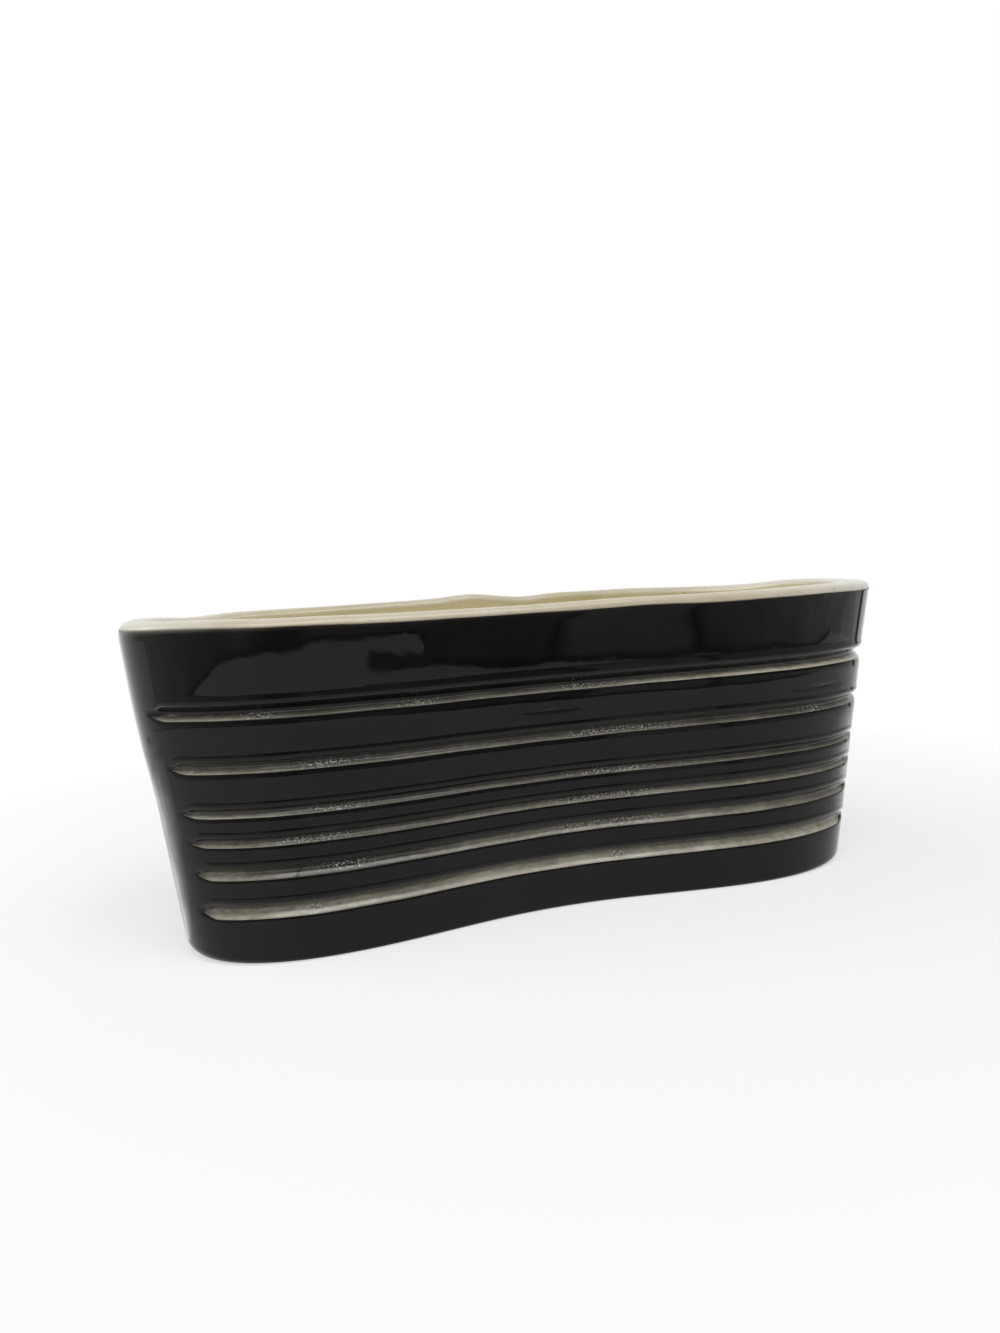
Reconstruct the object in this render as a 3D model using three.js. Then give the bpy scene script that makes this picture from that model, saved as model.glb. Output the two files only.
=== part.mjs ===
// Ceramic planter: a long slip-cast trough with pinched sides, a black coat outside,
// an ivory coat inside and over the rim, and ivory lines in six grooves on each long side.
// Millimetres, +Z up, front towards -Y, origin under the middle of the foot.
import * as THREE from 'three';
import { mergeVertices } from 'three/addons/utils/BufferGeometryUtils.js';

// Outside wall: its outline grows evenly from the foot to the rim
const HEIGHT = 94.3;
const FOOT_OUTLINE = { halfLength: 109, halfDepth: 38.4, pinch: 17.3, bluntness: 2.8 };
const RIM_OUTLINE = { halfLength: 120, halfDepth: 42, pinch: 4.4, bluntness: 2.9 };
const PINCH_REACH = 0.63; // of the half length

// Cavity: rounder at its ends than the outside, so the wall thickens there
const FLOOR_LEVEL = 8;
const CAVITY_FLOOR = { halfLength: 98, halfDepth: 29.6, pinch: 15.4, bluntness: 2.35 };
const CAVITY_RIM = { halfLength: 110.5, halfDepth: 35.6, pinch: 4.4, bluntness: 2.4 };
const FLOOR_CORNER = 7;

// Foot: a flat bare ring round a shallow recess, inside an edge that is rounder at the ends
const FOOT_EDGE = { sides: 1.2, ends: 4.2 };
const FOOT_RING = 10.5; // from the outline to the ring's inner edge
const FOOT_RECESS = 1.6;

// Rim: a rounded lip, wiped by hand, so that its crest sways a little along each side
const LIP_DROP = 3.2;
const LIP_TURNS = [48, 69, 90, 116, 146, 180]; // degrees round the lip to the cavity's side
const BLACK_EDGE_TURN = { left: 30, right: 8 }; // degrees up the lip, from its outer side
const IVORY_EDGE_GAP = 7; // further up the lip
const FRONT_SWAY = [
  { at: -96, reach: 34, rise: 1.2 },
  { at: -36, reach: 16, rise: -0.5 },
  { at: 92, reach: 30, rise: 0.8 },
];
const BACK_SWAY = [
  { at: -118, reach: 6, rise: 0.9 },
  { at: -104, reach: 10, rise: -0.8 },
  { at: -9, reach: 9, rise: 0.9 },
  { at: 12, reach: 10, rise: -1 },
  { at: 80, reach: 22, rise: -1 },
  { at: 119, reach: 8, rise: 1 },
];

// Fired coats, and the thin bond line between a coat and the clay
const COAT = 0.6;
const BOND = 0.2;

// Grooves from the top one down: height of the lower lip, height and depth of the cut,
// its tips in degrees round from either end, and the column where its line starts
const GROOVES = [
  { lip: 69, rise: 5.6, depth: 2.4, tip: 8, lineColumn: 3 },
  { lip: 54.5, rise: 4.6, depth: 2.0, tip: 10, lineColumn: 4 },
  { lip: 42.2, rise: 3.8, depth: 1.7, tip: 12, lineColumn: 4 },
  { lip: 34, rise: 3.6, depth: 1.6, tip: 12, lineColumn: 4 },
  { lip: 24.6, rise: 4.6, depth: 1.9, tip: 11, lineColumn: 4 },
  { lip: 13.4, rise: 5.4, depth: 2.2, tip: 9, lineColumn: 4 },
];
const GROOVE_BED = 0.42; // of the cut's height, where it is deepest
const GROOVE_SHOULDER = { rise: 0.76, depth: 0.42 };
const GROOVE_FADE = 17; // degrees from a tip to the full depth
const GROOVE_TIP_RISE = 0.3; // of the cut's height, left at its tips
const LINE_MARGIN = 0.12; // of the lower flank, kept free along both edges of a line
const LINE_TIP_GAP = THREE.MathUtils.degToRad(0.5);

// Columns of the surface stand closer together round the two tight ends
const COLUMNS = 52;
const END_CROWDING = 0.12;
const columnTurns = Array.from({ length: COLUMNS }, (_, i) => {
  const even = (i * 2 * Math.PI) / COLUMNS;
  return even - END_CROWDING * Math.sin(2 * even);
});

const finishes = {
  clay: { color: 0xd8ccb4, roughness: 0.85 },
  black: { color: 0x171615, roughness: 0.12 },
  ivory: { color: 0xded9c8, roughness: 0.28 },
  line: { color: 0x9b9583, roughness: 0.35 },
};

const bell = (offset, reach) => Math.exp(-((offset / reach) ** 2));

// Outline of a tapering wall, from its low outline to its high one
function outlineAt(low, high, share) {
  const mixed = Object.keys(low).map((key) => [key, THREE.MathUtils.lerp(low[key], high[key], share)]);
  return Object.fromEntries(mixed);
}

// Blunt oval whose long sides are pinched in at mid length; turn runs from +X towards the back
function ovalPoint({ halfLength, halfDepth, pinch, bluntness }, turn) {
  const along = Math.cos(turn);
  const fullness = Math.max(0, 1 - Math.abs(along) ** bluntness) ** (1 / bluntness);
  const depth = halfDepth - pinch * bell(along, PINCH_REACH);
  return new THREE.Vector2(halfLength * along, Math.sign(Math.sin(turn)) * depth * fullness);
}

// The same oval, set in along its own normal
function insetPoint(oval, turn, inset) {
  const step = 1e-3;
  const along = ovalPoint(oval, turn + step).sub(ovalPoint(oval, turn - step)).normalize();
  const point = ovalPoint(oval, turn);
  return new THREE.Vector2(point.x - along.y * inset, point.y + along.x * inset);
}

function outsideAt(height) {
  return outlineAt(FOOT_OUTLINE, RIM_OUTLINE, height / HEIGHT);
}

function cavityAt(height) {
  return outlineAt(CAVITY_FLOOR, CAVITY_RIM, (height - FLOOR_LEVEL) / (HEIGHT - FLOOR_LEVEL));
}

// Height of the lip's crest, front and back swaying by themselves and meeting at the ends
function crestAt(turn) {
  const point = ovalPoint(RIM_OUTLINE, turn);
  const sway = (bumps) => bumps.reduce((sum, b) => sum + b.rise * bell(point.x - b.at, b.reach), 0);
  const backward = THREE.MathUtils.smoothstep(point.y, -RIM_OUTLINE.halfDepth, RIM_OUTLINE.halfDepth);
  return HEIGHT + THREE.MathUtils.lerp(sway(FRONT_SWAY), sway(BACK_SWAY), backward);
}

// A cut narrows and fades out before it reaches either end of the planter
function cutStrength(turn, tip) {
  const fromEnd = THREE.MathUtils.radToDeg(Math.asin(Math.abs(Math.sin(turn))));
  return THREE.MathUtils.smoothstep(fromEnd, tip, tip + GROOVE_FADE);
}

// Rows of the surface: each gives the point at a turn, a given depth under the finished skin
const wallRow = (height, edge = 0) => (turn, under) => {
  const point = insetPoint(outsideAt(height), turn, edge + under);
  return new THREE.Vector3(point.x, point.y, height);
};

const footRow = (rise, inset) => (turn, under) => {
  const edge = THREE.MathUtils.lerp(FOOT_EDGE.sides, FOOT_EDGE.ends, Math.cos(turn) ** 8);
  return wallRow(edge * rise, edge * inset)(turn, under);
};

const cutRow = ({ lip, rise, depth, tip }, riseShare, depthShare) => (turn, under) => {
  const strength = cutStrength(turn, tip);
  const opening = rise * THREE.MathUtils.lerp(GROOVE_TIP_RISE, 1, strength);
  return wallRow(lip + opening * riseShare, depth * depthShare * strength)(turn, under);
};

const lipPoint = (degrees, turn, under) => {
  const round = THREE.MathUtils.degToRad(degrees);
  const outer = insetPoint(RIM_OUTLINE, turn, under);
  const inner = insetPoint(CAVITY_RIM, turn, -under);
  const point = outer.lerp(inner, (1 - Math.cos(round)) / 2);
  return new THREE.Vector3(point.x, point.y, crestAt(turn) - under - LIP_DROP * (1 - Math.sin(round)));
};

const lipRow = (degrees) => (turn, under) => lipPoint(degrees, turn, under);

// Where the two coats meet, lower on the lip towards the right
const seamRow = (gap) => (turn, under) => {
  const { left, right } = BLACK_EDGE_TURN;
  return lipPoint(gap + THREE.MathUtils.lerp(left, right, (1 + Math.cos(turn)) / 2), turn, under);
};

const cavityRow = (height, edge, sunk) => (turn, under) => {
  const point = insetPoint(cavityAt(height), turn, edge - under);
  return new THREE.Vector3(point.x, point.y, height - sunk * under);
};

const centreRow = (height, sunk) => (turn, under) => new THREE.Vector3(0, 0, height - sunk * under);

// Lower lip, bed, rounded shoulder and upper lip of one cut
function grooveRows(groove) {
  return [
    cutRow(groove, 0, 0),
    cutRow(groove, GROOVE_BED, 1),
    cutRow(groove, GROOVE_SHOULDER.rise, GROOVE_SHOULDER.depth),
    cutRow(groove, 1, 0),
  ];
}

const EDGE_ROUND = 1 - Math.SQRT1_2;
const footEdgeRows = [footRow(EDGE_ROUND, EDGE_ROUND), footRow(1, 0)];
const groovesUpward = GROOVES.toReversed();
const wallRows = groovesUpward.flatMap(grooveRows);
const cornerRows = [90, 50, 10].map((degrees) => {
  const round = THREE.MathUtils.degToRad(degrees);
  const edge = FLOOR_CORNER * (1 - Math.sin(round));
  return cavityRow(FLOOR_LEVEL + FLOOR_CORNER * (1 - Math.cos(round)), edge, 1 - Math.sin(round));
});
const floorRows = [...cornerRows, centreRow(FLOOR_LEVEL, 1)];
const lipRows = (...degrees) => degrees.map(lipRow);

// Gathers triangles, leaving out those that a pole closes up
class Faces {
  corners = [];

  triangle(a, b, c) {
    if (a.equals(b) || b.equals(c) || c.equals(a)) return;
    this.corners.push(...a, ...b, ...c);
  }

  quad(a, b, c, d) {
    this.triangle(a, b, c);
    this.triangle(a, c, d);
  }

  geometry() {
    const loose = new THREE.BufferGeometry();
    loose.setAttribute('position', new THREE.Float32BufferAttribute(this.corners, 3));
    const solid = mergeVertices(loose);
    solid.computeVertexNormals();
    return solid;
  }
}

// Closed loft through rows that start and end on the middle line
function loft(rows, under) {
  const grid = rows.map((row) => columnTurns.map((turn) => row(turn, under)));
  const faces = new Faces();
  for (let r = 0; r + 1 < rows.length; r += 1) {
    for (let c = 0; c < COLUMNS; c += 1) {
      const next = (c + 1) % COLUMNS;
      faces.quad(grid[r][c], grid[r][next], grid[r + 1][next], grid[r + 1][c]);
    }
  }
  return faces.geometry();
}

// Coat of even thickness over a grid of cells, closed along every free edge
function coat(rows, turns, { goesRound, isOpen = () => false }) {
  const outside = rows.map((row) => turns.map((turn) => row(turn, 0)));
  const inside = rows.map((row) => turns.map((turn) => row(turn, COAT)));
  const cellsRound = goesRound ? turns.length : turns.length - 1;
  const wrap = (c) => (goesRound ? (c + turns.length) % turns.length : c);
  const covered = (r, c) => r >= 0 && r + 1 < rows.length && c >= 0 && c < cellsRound && !isOpen(r, c);
  const faces = new Faces();
  for (let r = 0; r + 1 < rows.length; r += 1) {
    for (let c = 0; c < cellsRound; c += 1) {
      if (!covered(r, c)) continue;
      const ring = [[r, c], [r, wrap(c + 1)], [r + 1, wrap(c + 1)], [r + 1, c]];
      const beside = [[r - 1, c], [r, wrap(c + 1)], [r + 1, c], [r, wrap(c - 1)]];
      const upper = ring.map(([i, j]) => outside[i][j]);
      const lower = ring.map(([i, j]) => inside[i][j]);
      faces.quad(...upper);
      faces.quad(lower[0], lower[3], lower[2], lower[1]);
      beside.forEach(([i, j], side) => {
        if (covered(i, j)) return;
        const end = (side + 1) % 4;
        faces.quad(upper[end], upper[side], lower[side], lower[end]);
      });
    }
  }
  return faces.geometry();
}

function piece(name, geometry, finish) {
  const mesh = new THREE.Mesh(geometry, new THREE.MeshStandardMaterial({ ...finish, metalness: 0 }));
  mesh.name = name;
  return mesh;
}

// Cast clay trough: foot, grooved wall, lip, cavity and floor in one loft
function clayBody() {
  const underside = [
    centreRow(FOOT_RECESS, 0),
    wallRow(FOOT_RECESS, FOOT_RING + FOOT_RECESS),
    wallRow(0, FOOT_RING),
    footRow(0, 1),
  ];
  const rim = lipRows(0, 24, ...LIP_TURNS);
  const rows = [...underside, ...footEdgeRows, ...wallRows, ...rim, ...floorRows];
  return piece('clay_body', loft(rows, COAT + BOND), finishes.clay);
}

// A line lies in a run of columns on each long side, clear of both ends
function underLine(column, { lineColumn }) {
  const fromEnd = column % (COLUMNS / 2);
  return fromEnd >= lineColumn && fromEnd < COLUMNS / 2 - lineColumn;
}

// Black coat from just above the foot to the lip, left open along the lower flank of each cut
function blackGlaze() {
  const rows = [...footEdgeRows, ...wallRows, lipRow(0), seamRow(0)];
  const rowsPerCut = wallRows.length / GROOVES.length;
  const isOpen = (row, column) => {
    const fromFirst = row - footEdgeRows.length;
    const groove = groovesUpward[fromFirst / rowsPerCut]; // only a lower lip's row has one
    return groove !== undefined && underLine(column, groove);
  };
  return piece('black_outer_glaze', coat(rows, columnTurns, { goesRound: true, isOpen }), finishes.black);
}

// Ivory coat over the crest of the lip, down the cavity and across its floor
function ivoryGlaze() {
  const rows = [seamRow(IVORY_EDGE_GAP), ...lipRows(...LIP_TURNS), ...floorRows];
  return piece('ivory_liner_glaze', coat(rows, columnTurns, { goesRound: true }), finishes.ivory);
}

// One ivory line on the lower flank of a cut, on the front side
function grooveLineGeometry(groove) {
  const flankRow = (share) => cutRow(groove, GROOVE_BED * share, share);
  const first = COLUMNS / 2 + groove.lineColumn;
  const last = COLUMNS - groove.lineColumn;
  const turns = columnTurns.slice(first, last + 1);
  turns[0] += LINE_TIP_GAP;
  turns[turns.length - 1] -= LINE_TIP_GAP;
  return coat([flankRow(LINE_MARGIN), flankRow(1 - LINE_MARGIN)], turns, { goesRound: false });
}

// Six lines on one long side; the other side is the same, turned half way round
function grooveLines(side, rotation) {
  const lines = new THREE.Group();
  GROOVES.forEach((groove, i) => {
    lines.add(piece(`${side}_groove_line_${i + 1}`, grooveLineGeometry(groove), finishes.line));
  });
  lines.rotation.z = rotation;
  return lines;
}

const planter = new THREE.Group();
planter.add(clayBody(), blackGlaze(), ivoryGlaze());
planter.add(grooveLines('front', 0), grooveLines('rear', Math.PI));

export default planter;
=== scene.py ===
import math

import bmesh
import bpy
from mathutils import Matrix, Vector, noise


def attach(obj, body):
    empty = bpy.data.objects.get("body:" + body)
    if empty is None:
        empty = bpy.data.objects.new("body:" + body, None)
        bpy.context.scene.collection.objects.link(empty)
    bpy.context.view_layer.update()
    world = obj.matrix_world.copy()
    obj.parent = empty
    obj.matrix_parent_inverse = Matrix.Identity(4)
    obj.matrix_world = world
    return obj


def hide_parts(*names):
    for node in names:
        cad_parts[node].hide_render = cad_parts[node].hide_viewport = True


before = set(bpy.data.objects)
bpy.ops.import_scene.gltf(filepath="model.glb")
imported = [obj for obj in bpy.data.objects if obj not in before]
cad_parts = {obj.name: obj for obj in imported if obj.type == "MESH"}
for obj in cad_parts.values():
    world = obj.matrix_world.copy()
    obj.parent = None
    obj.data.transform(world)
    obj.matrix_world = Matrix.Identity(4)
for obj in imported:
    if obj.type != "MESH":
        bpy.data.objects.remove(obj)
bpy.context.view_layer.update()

mm = 0.001
weldGap = 2e-6    # points nearer than this, in metres, become one
print("planter: frame loaded")

# Shape of the casting, in mm; an outline is half length, half depth, pinch, bluntness
casting = {
    "height": 94.3,
    "footOutline": (109.0, 38.4, 17.3, 2.8),
    "rimOutline": (120.0, 42.0, 4.4, 2.9),
    "pinchReach": 0.63,
    "cavityFloor": (98.0, 29.6, 15.4, 2.35),
    "cavityRim": (110.5, 35.6, 4.4, 2.4),
    "floorLevel": 8.0, "floorCorner": 7.0,
    "edgeSides": 1.2, "edgeEnds": 4.2, "edgeBlend": 8,              # rounding of the foot
    "skin": 0.06,                                                   # keeps the glaze inside the cast size
    "wave": 0.16, "waveSpan": 21.0, "waveStretch": (1.4, 1.2),      # unevenness left by the hand
}

# Fuller left end, growing between two heights and held back near the rim; the reach is in radians
leftSwell = {"full": 0.9, "low": 42, "high": 66, "lean": 0.1166, "leanTop": 93.8, "reach": 0.5}

# Lip: drop from its crest to its side, bluntness, and how they change at the ends (reaches in radians)
rimLip = {
    "drop": 3.2, "blunt": 2.9,
    "leftDrop": 1.4, "leftReach": 0.3,
    "rightRise": 0.7, "rightBlunt": 0.7, "rightReach": 0.35,        # squarer at the right end
    "top": 56.0,                                                    # degrees up it where its flat top begins
    "frontSway": ((-112, 9, 0.25), (-97, 34, 1.12), (-86, 12, -0.35), (-36, 18, 0.1), (20, 22, 0.4),
                  (92, 34, 0.42)),                                  # at, reach, rise
    "backSway": ((-118, 6, 0.45), (-104, 10, -0.8), (-60, 30, -0.3), (-9, 9, 0.9), (12, 10, -1.0),
                 (38, 16, -0.45), (80, 22, -1.1), (100, 12, -0.7), (119, 8, 0.4)),
}

# Seam of the two glazes, in degrees up the lip: lower towards the right, and wiped by hand
seamLine = {
    "left": 27, "right": 8, "leftLift": 8, "leftReach": 0.25,
    "wipes": ((4.0, 24.0, 0), (1.2, 7.0, 9)),                       # degrees, span in mm, place in the noise
}

# Grooves from the top one down: lower lip, height, depth, tips in degrees round from the left and the
# right end, seen from the groove's own side, reach of the rounding below its lip, bead of glaze above it
grooves = (
    {"lip": 69.0, "rise": 4.7, "depth": 2.3, "left": 14.3, "right": 3, "soft": 1.7, "bead": 0.17},
    {"lip": 54.5, "rise": 3.9, "depth": 1.9, "left": 17.8, "right": 7, "soft": 1.6, "bead": 0.16},
    {"lip": 42.2, "rise": 3.3, "depth": 1.6, "left": 18.4, "right": 10, "soft": 1.4, "bead": 0.15},
    {"lip": 34.0, "rise": 3.3, "depth": 1.55, "left": 19.1, "right": 11.5, "soft": 1.0, "bead": 0.16},
    {"lip": 24.6, "rise": 4.3, "depth": 1.8, "left": 19.1, "right": 12, "soft": 1.0, "bead": 0.19},
    {"lip": 13.4, "rise": 5.2, "depth": 2.1, "left": 18.0, "right": 11.5, "soft": 1.0, "bead": 0.20},
)
# Form they share: deepest share of the height, fullness below it, strengths from a dent to a full scoop,
# tips, wander of the lip, and the bead of glaze above
cut = {
    "bed": 0.42, "scoop": 1.7, "dentToScoop": (0.05, 0.5), "lipSoft": 0.27,
    "leftFade": 7, "rightFade": 14, "tipRise": 0.5, "tipMiddle": 0.34,
    "wander": 0.14, "wanderSpan": (17.0, 40.0),
    "beadFrom": 0.75, "beadFoot": 0.6, "beadCrest": 0.5, "beadReach": 1.5,
}


def mix(a, b, share):
    return a + (b - a) * share


def ease(value, low, high):
    share = min(1.0, max(0.0, (value - low) / (high - low)))
    return share * share * (3 - 2 * share)


def bell(offset, reach):
    return math.exp(-((offset / reach) ** 2))


def outlineAt(low, high, share):
    return tuple(mix(a, b, share) for a, b in zip(low, high))


def ovalPoint(outline, turn):
    halfLength, halfDepth, pinch, bluntness = outline
    along = math.cos(turn)
    fullness = max(0.0, 1 - abs(along) ** bluntness) ** (1 / bluntness)
    depth = halfDepth - pinch * bell(along, casting["pinchReach"])
    return halfLength * along, math.copysign(depth * fullness, math.sin(turn))


def insetPoint(outline, turn, inset):
    step = 1e-3
    x0, y0 = ovalPoint(outline, turn - step)
    x1, y1 = ovalPoint(outline, turn + step)
    size = math.hypot(x1 - x0, y1 - y0)
    x, y = ovalPoint(outline, turn)
    return x - (y1 - y0) / size * inset, y + (x1 - x0) / size * inset


def crestAt(turn):
    x, y = ovalPoint(casting["rimOutline"], turn)
    front = sum(rise * bell(x - at, reach) for at, reach, rise in rimLip["frontSway"])
    back = sum(rise * bell(x - at, reach) for at, reach, rise in rimLip["backSway"])
    halfDepth = casting["rimOutline"][1]
    return casting["height"] + mix(front, back, ease(y, -halfDepth, halfDepth))


def swellAt(height, turn):
    room = max(0.0, leftSwell["lean"] * (leftSwell["leanTop"] - height))
    full = min(leftSwell["full"] * ease(height, leftSwell["low"], leftSwell["high"]), room)
    return full * bell(turn - math.pi, leftSwell["reach"])


# Every row gives the point at a turn, a given depth under the finished skin
def wallPoint(height, turn, inset):
    outline = outlineAt(casting["footOutline"], casting["rimOutline"], height / casting["height"])
    x, y = ovalPoint(outline, turn)
    stretchY, stretchZ = casting["waveStretch"]
    wave = noise.noise(Vector((x, y * stretchY, height * stretchZ)) / casting["waveSpan"])
    wave = casting["wave"] * (0.5 + 0.5 * wave)
    x, y = insetPoint(outline, turn, inset + casting["skin"] + wave - swellAt(height, turn))
    return Vector((x, y, height))


def wallRow(height, edge):
    return lambda turn, under: wallPoint(height, turn, edge + under)


def footRow(degrees):
    around = math.radians(degrees)

    def at(turn, under):
        edge = mix(casting["edgeSides"], casting["edgeEnds"], math.cos(turn) ** casting["edgeBlend"])
        return wallPoint(edge * (1 - math.cos(around)), turn, edge * (1 - math.sin(around)) + under)
    return at


# Scoop with a crisp lower lip and a rounded upper one; near its tips it is a soft dent
def cutProfile(share, strength):
    bed = cut["bed"]
    dent = 0.5 - 0.5 * math.cos(2 * math.pi * share)
    if share < bed:
        scoop = 1 - (1 - share / bed) ** cut["scoop"]
    else:
        scoop = 0.5 + 0.5 * math.cos(math.pi * (share - bed) / (1 - bed))
    return mix(dent, scoop, ease(strength, *cut["dentToScoop"]))


def cutStrength(groove, turn):
    fromLeft = math.degrees(turn) % 180
    left = ease(fromLeft, groove["left"], groove["left"] + cut["leftFade"])
    return left * ease(180 - fromLeft, groove["right"], groove["right"] + cut["rightFade"])


def cutHeight(groove, share, turn, strength):
    narrow = mix(cut["tipRise"], 1, strength)
    rise = groove["rise"] * mix(cut["tipMiddle"], share, narrow)
    x, y = ovalPoint(casting["rimOutline"], turn)
    spanX, spanY = cut["wanderSpan"]
    wander = cut["wander"] * noise.noise(Vector((x / spanX, groove["lip"], y / spanY)))
    return groove["lip"] + wander * strength + rise


def cutRow(groove, share):
    soft = cut["lipSoft"] * groove["soft"] * max(0.0, 1 - share / cut["bed"]) ** 2
    soft -= groove["bead"] * cut["beadFoot"] * ease(share, cut["beadFrom"], 1)

    def at(turn, under):
        strength = cutStrength(groove, turn)
        sunk = strength * (groove["depth"] * cutProfile(share, strength) + soft)
        return wallPoint(cutHeight(groove, share, turn, strength), turn, sunk + under)
    return at


def beadRow(groove, up):
    crest, reach = cut["beadCrest"], cut["beadReach"]
    full = mix(cut["beadFoot"], 1, ease(up, 0, crest)) * (1 - ease(up, crest, reach))

    def at(turn, under):
        strength = cutStrength(groove, turn)
        height = cutHeight(groove, 1, turn, strength) + up
        return wallPoint(height, turn, under - groove["bead"] * full * strength)
    return at


# Rounding that leads from the panel below up to a groove's lower lip
def lipEdgeRow(groove, share):
    def at(turn, under):
        strength = cutStrength(groove, turn)
        height = cutHeight(groove, 0, turn, strength) - groove["soft"] * (1 - share)
        return wallPoint(height, turn, cut["lipSoft"] * groove["soft"] * share ** 2 * strength + under)
    return at


# Thinner glaze on the lips of a groove, none where the groove has run out
def cutEdge(groove, full):
    return lambda turn: full * cutStrength(groove, turn)


def between(low, high, share):
    return lambda turn, under: low(turn, under).lerp(high(turn, under), share)


def lipPoint(degrees, turn, under):
    around = math.radians(degrees)
    depth = under + casting["skin"]
    rise = math.sin(around)
    left = bell(turn - math.pi, rimLip["leftReach"])
    right = bell(math.pi - abs(turn - math.pi), rimLip["rightReach"])
    blunt = rimLip["blunt"] + rimLip["rightBlunt"] * right
    drop = rimLip["drop"] + rimLip["leftDrop"] * left - rimLip["rightRise"] * right
    height = crestAt(turn) - depth - drop * (1 - rise)
    outer = insetPoint(casting["rimOutline"], turn, depth)
    inner = insetPoint(casting["cavityRim"], turn, -depth)
    share = (1 - math.copysign((1 - abs(rise) ** blunt) ** (1 / blunt), math.cos(around))) / 2
    return Vector((mix(outer[0], inner[0], share), mix(outer[1], inner[1], share), height))


def lipRow(degrees):
    return lambda turn, under: lipPoint(degrees, turn, under)


# Row some degrees past the seam, or a share of the way onward from there to the lip's top
def seamRow(past, onward=0.0):
    def at(turn, under):
        x, y = ovalPoint(casting["rimOutline"], turn)
        place = Vector((x, y, 0.0))
        wiped = 0.0
        for size, span, shift in seamLine["wipes"]:
            wiped += size * noise.noise(place / span + Vector((0, 0, shift)))
        seam = mix(seamLine["left"], seamLine["right"], (1 + math.cos(turn)) / 2)
        seam += seamLine["leftLift"] * bell(turn - math.pi, seamLine["leftReach"])
        return lipPoint(mix(seam + wiped + past, rimLip["top"], onward), turn, under)
    return at


def cavityRow(height, edge, sunk):
    share = (height - casting["floorLevel"]) / (casting["height"] - casting["floorLevel"])
    outline = outlineAt(casting["cavityFloor"], casting["cavityRim"], share)

    def at(turn, under):
        x, y = insetPoint(outline, turn, edge - under)
        return Vector((x, y, height - sunk * under))
    return at


# Rounding between the cavity's wall and its floor
def cornerRow(degrees):
    around = math.radians(degrees)
    corner, sunk = casting["floorCorner"], 1 - math.sin(around)
    return cavityRow(casting["floorLevel"] + corner * (1 - math.cos(around)), corner * sunk, sunk)


def centreRow(height, sunk):
    return lambda turn, under: Vector((0, 0, height - sunk * under))


def roundTurns(count, crowding=0.4):
    evenly = [2 * math.pi * i / count for i in range(count + 1)]
    return [turn - crowding * math.sin(2 * turn) for turn in evenly]


# Grid swept through rows and columns; its meeting edges are merged into a closed shell
def sweepPiece(name, rows, turns, node, marks=()):
    shell = bmesh.new()
    layers = [shell.verts.layers.float.new(mark) for mark in marks]
    bmesh.ops.create_grid(shell, x_segments=len(turns) - 1, y_segments=len(rows) - 1, size=0.5)
    for vert in shell.verts:
        turn = turns[round((vert.co.x + 0.5) * (len(turns) - 1))]
        row = rows[round((vert.co.y + 0.5) * (len(rows) - 1))]
        vert.co = row["at"](turn, row["under"]) * mm
        for layer, mark in zip(layers, marks):
            vert[layer] = row[mark](turn) if callable(row[mark]) else row[mark]
    bmesh.ops.remove_doubles(shell, verts=shell.verts, dist=weldGap)
    bmesh.ops.recalc_face_normals(shell, faces=shell.faces)
    for face in shell.faces:
        face.smooth = True
    mesh = bpy.data.meshes.new(name)
    shell.to_mesh(mesh)
    shell.free()
    piece = bpy.data.objects.new(name, mesh)
    bpy.context.collection.objects.link(piece)
    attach(piece, "root")
    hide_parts(node)
    print("planter:", name, len(mesh.polygons), "faces")
    return piece


# Node helpers of the materials
noiseSpread = (0.3, 0.7)    # levels between which a noise mostly stays


def startMaterial(name):
    material = bpy.data.materials.new(name)
    material.use_nodes = True
    tree = material.node_tree
    shader = tree.nodes["Principled BSDF"]
    place = tree.nodes.new("ShaderNodeTexCoord").outputs["Object"]
    return material, tree, shader, place


def addNoise(tree, place, scale, detail=3.0, roughness=0.5, stretch=None):
    if stretch:
        mapping = tree.nodes.new("ShaderNodeMapping")
        mapping.inputs["Scale"].default_value = stretch
        tree.links.new(place, mapping.inputs["Vector"])
        place = mapping.outputs["Vector"]
    node = tree.nodes.new("ShaderNodeTexNoise")
    node.inputs["Scale"].default_value = scale
    node.inputs["Detail"].default_value = detail
    node.inputs["Roughness"].default_value = roughness
    tree.links.new(place, node.inputs["Vector"])
    return node.outputs["Fac"]


def addRamp(tree, source, *stops):
    node = tree.nodes.new("ShaderNodeValToRGB")
    band = node.color_ramp
    while len(band.elements) < len(stops):
        band.elements.new(0.5)
    for element, (position, colour) in zip(band.elements, stops):
        element.position = position
        element.color = (colour, colour, colour, 1) if isinstance(colour, float) else (*colour, 1)
    tree.links.new(source, node.inputs["Fac"])
    return node.outputs["Color"]


def addRange(tree, source, fromLow, fromHigh, toLow, toHigh):
    node = tree.nodes.new("ShaderNodeMapRange")
    limits = {"From Min": fromLow, "From Max": fromHigh, "To Min": toLow, "To Max": toHigh}
    for socket, value in limits.items():
        node.inputs[socket].default_value = value
    tree.links.new(source, node.inputs["Value"])
    return node.outputs["Result"]


# Two tones, or two values, over the spread of a noise
def addTones(tree, source, low, high):
    return addRamp(tree, source, (noiseSpread[0], low), (noiseSpread[1], high))


def addSpread(tree, source, low, high):
    return addRange(tree, source, *noiseSpread, low, high)


def addMath(tree, kind, a, b):
    node = tree.nodes.new("ShaderNodeMath")
    node.operation = kind
    for socket, value in zip(node.inputs, (a, b)):
        if isinstance(value, (int, float)):
            socket.default_value = value
        else:
            tree.links.new(value, socket)
    return node.outputs["Value"]


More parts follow.
